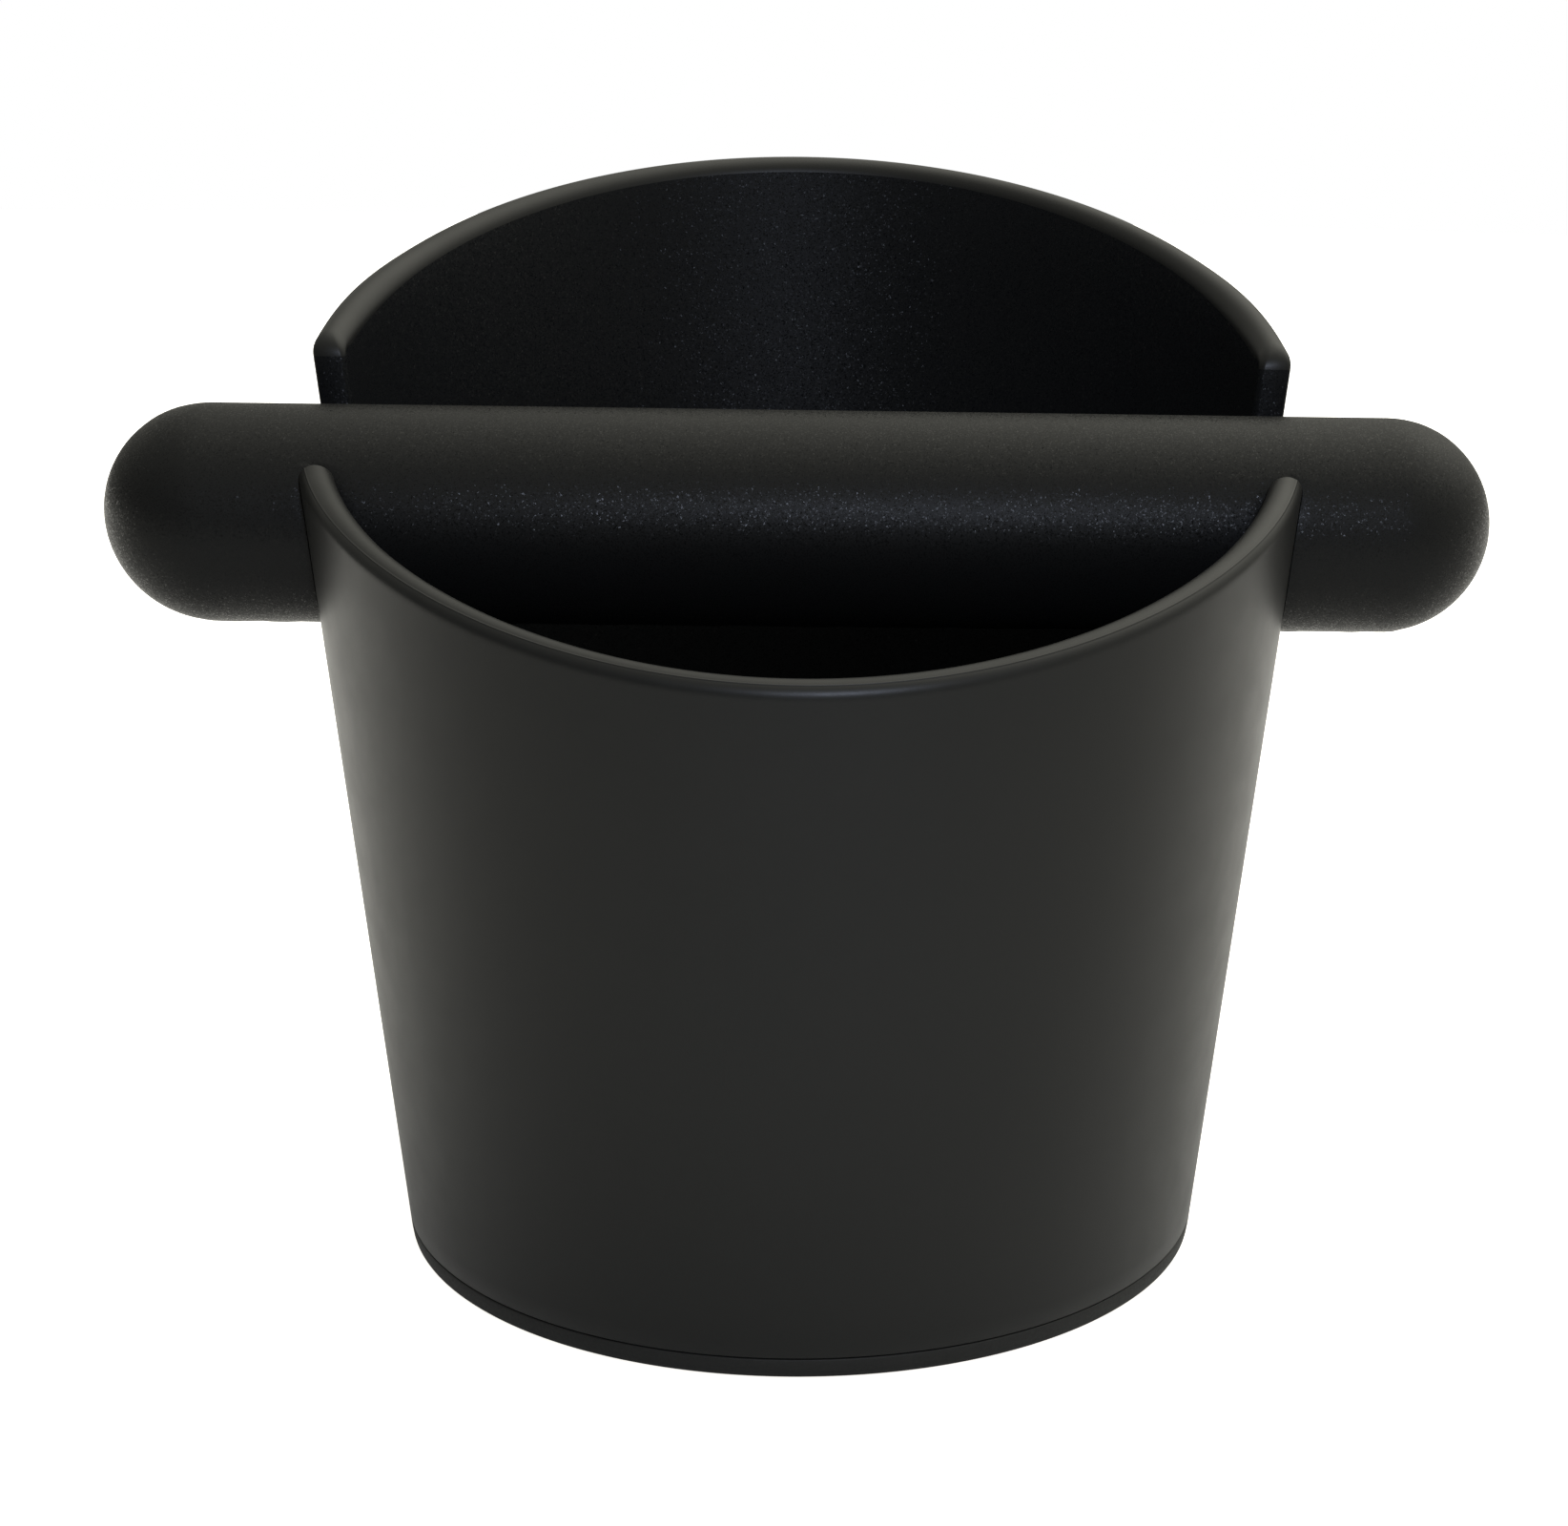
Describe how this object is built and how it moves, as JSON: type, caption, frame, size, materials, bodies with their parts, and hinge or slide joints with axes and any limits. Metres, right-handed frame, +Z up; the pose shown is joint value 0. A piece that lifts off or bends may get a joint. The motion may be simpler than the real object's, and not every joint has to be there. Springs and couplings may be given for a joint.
{
  "type": "espresso knock box",
  "caption": "Tapered plastic tub with a low front lip, a tall back wall and a lift-out rubber-covered bar for knocking out spent coffee.",
  "frame": {"origin": "middle of the bounding box's underside, on the surface it stands on", "axes": "+X along the knock bar, to the right as seen from the low front lip; +Y towards the tall back wall; +Z up"},
  "size_m": [0.178, 0.1286, 0.139],
  "materials": {
    "tub_plastic": "black satin ABS with a fine moulded grain",
    "ring_rubber": "smooth matt black rubber",
    "sleeve_rubber": "matt black rubber with a spark-eroded texture",
    "core_steel": "drawn steel"
  },
  "bodies": {
    "tub_body": {"tub": "tub_plastic", "base_ring": "ring_rubber"},
    "knock_bar": {"bar_core": "core_steel", "bar_sleeve": "sleeve_rubber"}
  },
  "joints": [
    {"name": "knock_bar_lift", "type": "slide", "parent": "tub_body", "child": "knock_bar", "axis": [0, 0, 1], "range_m": [0, 0.06]}
  ]
}
